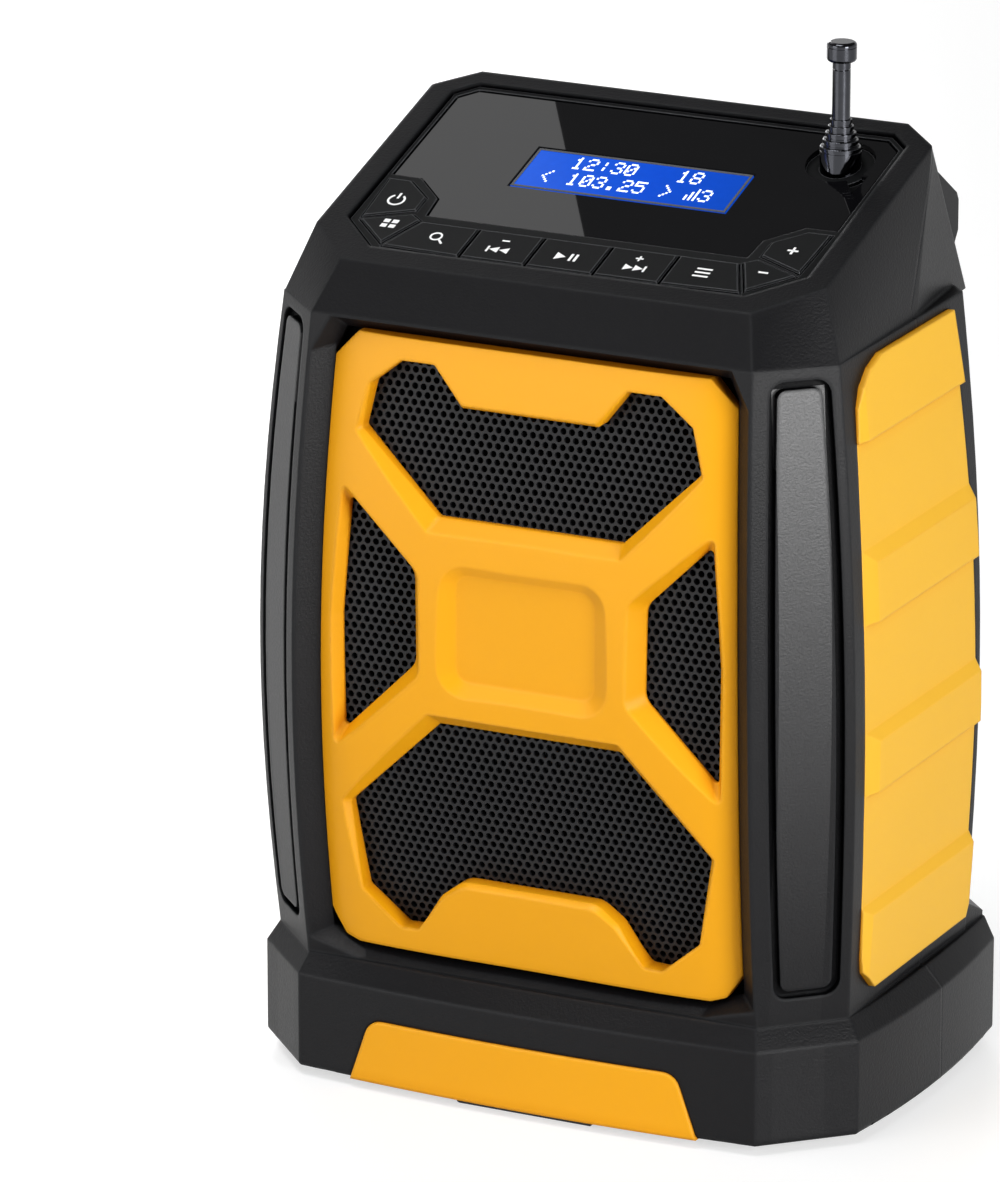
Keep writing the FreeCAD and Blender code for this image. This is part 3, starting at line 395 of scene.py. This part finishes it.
# Hexagon rows over the plate, split into holed and blind cells.
def grillePlaces(low, high):
    outlines = [[(x * mm, z * mm) for x, z in half + [(-x, z) for x, z in reversed(half)]]
                for half in middleOpenings]
    outlines += [[(side * x * mm, z * mm) for x, z in sideOpening] for side in (1, -1)]
    rowStep = grille["pitch"] * math.sqrt(3) / 2
    rows = int((high.z - low.z) / rowStep) - 1
    columns = int((high.x - low.x) / grille["pitch"] / 2) - 1
    holed, blind = [], []
    for row in range(rows):
        z = low.z + rowStep * (row + 1)
        for column in range(-columns, columns + 1):
            x = (column + 0.5 * (row % 2)) * grille["pitch"]
            near = any(nearOutline(x, z, outline, grille["margin"]) for outline in outlines)
            (holed if near else blind).append((x, z))
    return holed, blind


# One hexagon of sheet, flat side by side with its neighbours, with or without its hole.
def hexCell(name, holed):
    made = bmesh.new()
    sides = grille["sides"]
    reach = grille["pitch"] / math.sqrt(3)
    turns = [2 * math.pi * k / sides + math.pi / 6 for k in range(sides)]
    reaches = [reach if k % 2 == 0 else reach * math.cos(math.pi / 6) for k in range(sides)]
    rim = [made.verts.new((r * math.cos(a), 0, r * math.sin(a))) for r, a in zip(reaches, turns)]
    if holed:
        radius = grille["holeRadius"]
        bridge(made, rim, [made.verts.new((radius * math.cos(a), 0, radius * math.sin(a))) for a in turns])
    else:
        made.faces.new(rim)
    bmesh.ops.recalc_face_normals(made, faces=made.faces)
    return bpy.data.objects.new(name, finishMesh(name, made))


def pointsMesh(name, places):
    mesh = bpy.data.meshes.new(name)
    mesh.from_pydata(places, [], [])
    return mesh


# Instances of a cell on the mesh's points, made real and joined, and laid back onto a target if one is given.
def scatterTree(name, cell, material, target=None):
    tree = bpy.data.node_groups.new(name, "GeometryNodeTree")
    tree.interface.new_socket("Geometry", in_out="INPUT", socket_type="NodeSocketGeometry")
    size = tree.interface.new_socket("Cell size", in_out="INPUT", socket_type="NodeSocketFloat")
    size.default_value = 1.0
    tree.interface.new_socket("Geometry", in_out="OUTPUT", socket_type="NodeSocketGeometry")
    source = addNode(tree, "NodeGroupInput")
    shape = addNode(tree, "GeometryNodeObjectInfo", {"Object": cell})
    placed = addNode(tree, "GeometryNodeInstanceOnPoints", None,
                     {"Points": source.outputs["Geometry"], "Instance": shape.outputs["Geometry"],
                      "Scale": source.outputs["Cell size"]})
    real = addNode(tree, "GeometryNodeRealizeInstances", None, {"Geometry": placed.outputs["Instances"]})
    joined = addNode(tree, "GeometryNodeMergeByDistance", {"Distance": mergeGap},
                     {"Geometry": real.outputs["Geometry"]})
    last = joined
    if target:
        place = addNode(tree, "GeometryNodeInputPosition")
        sheet = addNode(tree, "GeometryNodeObjectInfo", {"Object": target, "transform_space": "RELATIVE"})
        ray = addNode(tree, "GeometryNodeRaycast", {"Ray Direction": (0, 1, 0), "Ray Length": 1.0},
                      {"Target Geometry": sheet.outputs["Geometry"], "Source Position": place.outputs[0]})
        last = addNode(tree, "GeometryNodeSetPosition", None,
                       {"Geometry": joined.outputs["Geometry"], "Selection": ray.outputs["Is Hit"],
                        "Position": ray.outputs["Hit Position"]})
    painted = addNode(tree, "GeometryNodeSetMaterial", {"Material": material},
                      {"Geometry": last.outputs["Geometry"]})
    addNode(tree, "NodeGroupOutput", None, {"Geometry": painted.outputs["Geometry"]})
    return tree


# Runs a tree on a mesh and gives the result as a plain mesh.
def grow(name, mesh, tree, inputs):
    holder = bpy.data.objects.new(name + "Grower", mesh)
    bpy.context.scene.collection.objects.link(holder)
    modifier = holder.modifiers.new("grow", "NODES")
    modifier.node_group = tree
    for item in tree.interface.items_tree:
        if item.in_out == "INPUT" and item.name in inputs:
            modifier[item.identifier] = inputs[item.name]
    bpy.context.view_layer.update()
    done = bpy.data.meshes.new_from_object(holder.evaluated_get(bpy.context.evaluated_depsgraph_get()))
    bpy.data.objects.remove(holder)
    done.name = name
    return done


def makeGrille():
    low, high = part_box("grille_plate")
    holed, blind = grillePlaces(low, high)
    built = bmesh.new()
    for name, places in (("holedCell", holed), ("blindCell", blind)):
        cell = hexCell(name, name == "holedCell")
        tree = scatterTree(name + "Tree", cell, powderCoat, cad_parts["grille_plate"])
        points = pointsMesh(name + "Points", [(x, low.y - grille["ahead"], z) for x, z in places])
        built.from_mesh(grow(name + "Sheet", points, tree, {"Cell size": 1.0}))
    bmesh.ops.remove_doubles(built, verts=built.verts, dist=mergeGap)
    missed = [v for v in built.verts if v.co.y < low.y - grille["stray"]]
    bmesh.ops.delete(built, geom=missed, context="VERTS")
    for face in built.faces:
        if face.normal.y > 0:
            face.normal_flip()
    bmesh.ops.solidify(built, geom=list(built.faces), thickness=grille["thickness"])
    mesh = finishMesh("grille", built)
    sheet = newPiece("grille_perforated", mesh, powderCoat, "housing")
    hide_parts("grille_plate")
    print("grille:", len(holed), "holes,", len(mesh.polygons), "faces")


makeGrille()


# The ink's thickness, its gap above the key, how much larger than drawn it is, and how close points merge.
ink = {"thick": 0.05 * mm, "rise": 0.01 * mm, "scale": 1.15, "merge": 0.001 * mm}


def bar(x, y, w, h):
    return [(x - w / 2, y - h / 2), (x + w / 2, y - h / 2), (x + w / 2, y + h / 2), (x - w / 2, y + h / 2)]


# A triangle that points to +x, or to -x where its width is negative.
def arrow(x, y, w, h):
    return [(x - w / 2, y - h / 2), (x + w / 2, y), (x - w / 2, y + h / 2)]


# An open ring as a row of four-sided pieces, angles in degrees.
def ring(x, y, radius, width, start, stop, steps=20):
    marks = [math.radians(start + (stop - start) * k / steps) for k in range(steps + 1)]
    return [[(x + r * math.cos(t), y + r * math.sin(t)) for r, t in
             ((radius - width, a), (radius, a), (radius, b), (radius - width, b))]
            for a, b in zip(marks, marks[1:])]


# Each key's sign: its middle on the deck and its shapes round that, in mm.
signs = {
    "key_power": {"at": (-45.8, -20.0), "shapes": ring(0, -0.2, 1.75, 0.42, 125, 415)
                  + [bar(0, 1.1, 0.42, 1.7)]},
    "key_mode": {"at": (-43.1, -28.6), "shapes": [bar(-0.85, 0.75, 1.2, 1.0), bar(0.85, 0.75, 1.2, 1.0),
                                                  bar(-0.85, -0.75, 1.2, 1.0), bar(0.85, -0.75, 1.2, 1.0)]},
    "key_scan": {"at": (-30.6, -31.3), "shapes": ring(-0.3, 0.3, 1.25, 0.38, 0, 360)
                 + [[(0.55, -0.75), (0.85, -0.45), (1.8, -1.5), (1.5, -1.8)]]},
    "key_previous": {"at": (-15.4, -31.6), "shapes": [bar(-2.3, -1.0, 0.4, 1.7), arrow(-1.1, -1.0, -1.8, 1.7),
                                                      arrow(0.9, -1.0, -1.8, 1.7), bar(0, 1.9, 1.5, 0.36)]},
    "key_select": {"at": (0.0, -31.6), "shapes": [arrow(-1.3, -0.4, 2.0, 2.1), bar(0.75, -0.4, 0.5, 2.1),
                                                  bar(1.75, -0.4, 0.5, 2.1)]},
    "key_next": {"at": (15.4, -31.6), "shapes": [arrow(-0.9, -1.0, 1.8, 1.7), arrow(1.1, -1.0, 1.8, 1.7),
                                                 bar(2.3, -1.0, 0.4, 1.7), bar(0, 1.9, 1.5, 0.36),
                                                 bar(0, 1.9, 0.36, 1.5)]},
    "key_menu": {"at": (30.6, -31.3), "shapes": [bar(0, y, 3.0, 0.42) for y in (1.1, 0, -1.1)]},
    "key_volume_down": {"at": (43.1, -28.6), "shapes": [bar(0, 0, 1.9, 0.45)]},
    "key_volume_up": {"at": (45.8, -20.0), "shapes": [bar(0, 0, 2.1, 0.45), bar(0, 0, 0.45, 2.1)]},
}


def printSign(key):
    atX, atY = signs[key]["at"]
    low = deck["keys"] + ink["rise"]
    made = bmesh.new()
    for shape in signs[key]["shapes"]:
        places = [((atX + ink["scale"] * x) * mm, (atY + ink["scale"] * y) * mm) for x, y in shape]
        under, over = [[made.verts.new(onDeck(x, y, level)) for x, y in places]
                       for level in (low, low + ink["thick"])]
        made.faces.new(over)
        made.faces.new(reversed(under))
        bridge(made, under, over)
    bmesh.ops.remove_doubles(made, verts=made.verts, dist=ink["merge"])
    bmesh.ops.recalc_face_normals(made, faces=made.faces)
    newPiece(key + "_sign", finishMesh(key + "_sign", made), whiteInk, key)


for key in signs:
    printSign(key)
print("signs printed")


# The display's dots: step and size along and up the line. A character is a block of columns and rows of dots,
# with a gap of dots to the next one, and lineStep is in dots too.
dots = {"pitch": 0.51 * mm, "pitchUp": 0.62 * mm, "size": 0.45 * mm, "sizeUp": 0.55 * mm, "thick": 0.05 * mm,
        "rise": 0.03 * mm, "columns": 5, "rows": 7, "gap": 1, "lineStep": 9.3}
displayLines = ["12:30   18", "< 103.25 > |3"]
# The characters that the lines use, row by row from the top. The upright stroke stands for the level bars.
glyphs = {
    "0": "01110 10001 10011 10101 11001 10001 01110", "1": "00100 01100 00100 00100 00100 00100 01110",
    "2": "01110 10001 00001 00110 01000 10000 11111", "3": "01110 10001 00001 00110 00001 10001 01110",
    "5": "11111 10000 11110 00001 00001 10001 01110", "8": "01110 10001 10001 01110 10001 10001 01110",
    ":": "00000 00100 00100 00000 00100 00100 00000", ".": "00000 00000 00000 00000 00000 01100 01100",
    "<": "00010 00100 01000 10000 01000 00100 00010", ">": "01000 00100 00010 00001 00010 00100 01000",
    "|": "00001 00001 00101 00101 10101 10101 10101", " ": "00000 00000 00000 00000 00000 00000 00000"}


def dotPlaces():
    low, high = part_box("lcd_glass")
    middleY = (low.y + high.y) / 2
    step = dots["columns"] + dots["gap"]
    middleRow = dots["rows"] // 2
    places = []
    for lineNumber, line in enumerate(displayLines):
        width = (len(line) * step - dots["gap"]) * dots["pitch"]
        up = (0.5 - lineNumber) * dots["lineStep"]
        for place, sign in enumerate(line):
            for row, bits in enumerate(glyphs[sign].split()):
                lit = [column for column, bit in enumerate(bits) if bit == "1"]
                y = middleY + (up + middleRow - row) * dots["pitchUp"]
                level = deck["glass"] + dots["rise"]
                places += [onDeck((place * step + column) * dots["pitch"] - width / 2, y, level)
                           for column in lit]
    return places


def makeDisplay():
    places = dotPlaces()
    made = bmesh.new()
    bmesh.ops.create_cube(made, size=1.0, matrix=Matrix.Rotation(deckAngle, 4, "X")
                          @ Matrix.Diagonal((dots["size"], dots["sizeUp"], dots["thick"], 1)))
    cell = bpy.data.objects.new("dotCell", finishMesh("dotCell", made))
    tree = scatterTree("dotTree", cell, litDots)
    mesh = grow("displayDots", pointsMesh("dotPoints", [tuple(p) for p in places]), tree, {"Cell size": 1.0})
    newPiece("display_dots", mesh, litDots, "housing")
    print("display:", len(places), "dots")


makeDisplay()


# Front and rear are the outer edges as y on the deck, low and high are levels as in the deck's settings.
bezel = {"halfWidth": 24.85 * mm, "front": -8.85 * mm, "rear": 5.25 * mm, "width": 0.5 * mm,
         "low": -1.28 * mm, "high": -1.14 * mm}


def bezelOutline(inset):
    x, front, rear = bezel["halfWidth"] - inset, bezel["front"] + inset, bezel["rear"] - inset
    return [(-x, front), (x, front), (x, rear), (-x, rear)]


# The grey gasket that shows as a thin line round the lit display.
def makeBezel():
    outer, inner = bezelOutline(0.0), bezelOutline(bezel["width"])
    low, high = bezel["low"], bezel["high"]
    made = bmesh.new()
    rings = [[made.verts.new(onDeck(x, y, level)) for x, y in outline]
             for outline, level in ((outer, high), (inner, high), (inner, low), (outer, low))]
    for first, second in zip(rings, rings[1:] + rings[:1]):
        bridge(made, first, second)
    bmesh.ops.recalc_face_normals(made, faces=made.faces)
    newPiece("display_bezel", finishMesh("displayBezel", made), gasketGrey, "housing")
    print("gasket line made")


makeBezel()


# Flat and bend are radii in metres, wall is the height, and the glow is what camera and mirrors see.
stage = {"floor": "#B4B4B4", "glow": 0.62, "flat": 7.0, "bend": 1.0, "wall": 3.6, "steps": 9, "turns": 64}


# Glazed paper sweep: camera, mirror and glass rays see its own white, so it reads pale and keeps the shadow.
def paleFinish():
    material, tree, shader = startMaterial("PaperSweepGlazed",
                                           {"Roughness": 0.35, "Base Color": toLinear(stage["floor"])})
    rays = addNode(tree, "ShaderNodeLightPath")
    direct = addNode(tree, "ShaderNodeMath", {"operation": "MAXIMUM"},
                     {0: rays.outputs["Is Camera Ray"], 1: rays.outputs["Is Glossy Ray"]})
    seen = addNode(tree, "ShaderNodeMath", {"operation": "MAXIMUM"},
                   {0: direct.outputs[0], 1: rays.outputs["Is Transmission Ray"]})
    level = addNode(tree, "ShaderNodeMath", {"operation": "MULTIPLY", 1: stage["glow"]}, {0: seen.outputs[0]})
    glow = addNode(tree, "ShaderNodeEmission", {"Color": (1, 1, 1, 1)}, {"Strength": level.outputs[0]})
    both = addNode(tree, "ShaderNodeAddShader", None, {0: shader.outputs[0], 1: glow.outputs[0]})
    tree.links.new(both.outputs[0], tree.nodes["Material Output"].inputs["Surface"])
    return material


# A round floor that bends up into a wall on every side, so each view has the same pale ground.
def makeStage():
    flat, bend = stage["flat"], stage["bend"]
    bends = [math.radians(90 * (k + 1) / stage["steps"]) for k in range(stage["steps"])]
    profile = [(flat, 0.0)] + [(flat + bend * math.sin(t), bend * (1 - math.cos(t))) for t in bends]
    profile += [(flat + bend, stage["wall"])]
    n = stage["turns"]
    verts = [(0.0, 0.0, 0.0)] + [(r * math.cos(2 * math.pi * k / n), r * math.sin(2 * math.pi * k / n), z)
                                 for r, z in profile for k in range(n)]
    faces = [(0, 1 + k, 1 + (k + 1) % n) for k in range(n)]
    for row in range(len(profile) - 1):
        low, high = 1 + row * n, 1 + (row + 1) * n
        faces += [(low + k, high + k, high + (k + 1) % n, low + (k + 1) % n) for k in range(n)]
    mesh = bpy.data.meshes.new("sweep")
    mesh.from_pydata(verts, [], faces)
    mesh.materials.append(paleFinish())
    for polygon in mesh.polygons:
        polygon.use_smooth = True
    sweep = bpy.data.objects.new("sweep", mesh)
    bpy.context.scene.collection.objects.link(sweep)


# Places and sizes in metres, power in watts. A lamp has a point to aim at, or its own long side and facing.
lamps = {
    "sideBox": {"at": (0.86, -0.44, 0.3), "aim": (0.0, 0.0, 0.11), "size": (0.36, 0.5), "power": 8.5},
    "frontBox": {"at": (-0.75, -1.3, 0.6), "aim": (0.0, 0.0, 0.1), "size": (1.0, 0.8), "power": 8.6},
    "rearBox": {"at": (-1.0, 1.3, 0.5), "aim": (0.0, 0.0, 0.1), "size": (0.8, 0.6), "power": 5.0},
    "lowBox": {"at": (-0.5, -0.8, 0.03), "aim": (0.0, 0.0, 0.12), "size": (0.6, 0.3), "power": 1.6},
    "topBox": {"at": (-0.1, -0.35, 1.3), "aim": (0.0, 0.0, 0.1), "size": (0.7, 0.5), "power": 8.5},
    # its edge is what the display window mirrors
    "glassCard": {"at": (-0.782, 0.503, 1.02), "across": (0.512, -0.858, 0.0),
                  "facing": (0.107, 0.062, -0.992), "size": (0.6, 0.6), "power": 1.05},
}
worldColour = (0.1, 0.1, 0.1, 1.0)    # a dim even light from all round


def makeLamps():
    for name, lamp in lamps.items():
        light = bpy.data.lights.new(name, "AREA")
        light.shape = "RECTANGLE"
        light.size, light.size_y = lamp["size"]
        light.energy = lamp["power"]
        lampObject = bpy.data.objects.new(name, light)
        bpy.context.scene.collection.objects.link(lampObject)
        if "aim" in lamp:
            towards = Vector(lamp["aim"]) - Vector(lamp["at"])
            lampObject.rotation_euler = towards.to_track_quat("-Z", "Y").to_euler()
        else:
            sideways, back = Vector(lamp["across"]).normalized(), -Vector(lamp["facing"]).normalized()
            lampObject.rotation_euler = Matrix((sideways, back.cross(sideways), back)).transposed().to_euler()
        lampObject.location = lamp["at"]
    world = bpy.data.worlds.new("studio")
    world.use_nodes = True
    bpy.context.scene.world = world
    world.node_tree.nodes["Background"].inputs["Color"].default_value = worldColour


# Angles in degrees, target and distance in metres, lens and film width in mm.
view = {"azimuth": 26.6106, "elevation": 17.6737, "target": (-0.031535, 0.0, 0.097198), "distance": 1.81824,
        "lens": 257.9, "film": 36.0, "nearest": 0.05, "farthest": 20.0}


def makeCamera():
    camera = bpy.data.cameras.new("camera")
    camera.lens, camera.sensor_width = view["lens"], view["film"]
    camera.clip_start, camera.clip_end = view["nearest"], view["farthest"]
    cameraObject = bpy.data.objects.new("camera", camera)
    bpy.context.scene.collection.objects.link(cameraObject)
    a, e = math.radians(view["azimuth"]), math.radians(view["elevation"])
    back = Vector((math.sin(a) * math.cos(e), -math.cos(a) * math.cos(e), math.sin(e)))
    cameraObject.location = Vector(view["target"]) + back * view["distance"]
    cameraObject.rotation_euler = (-back).to_track_quat("-Z", "Y").to_euler()
    bpy.context.scene.camera = cameraObject


makeStage()
makeLamps()
makeCamera()
bpy.context.scene.view_settings.view_transform = "Standard"
print("stage, lamps and camera set")
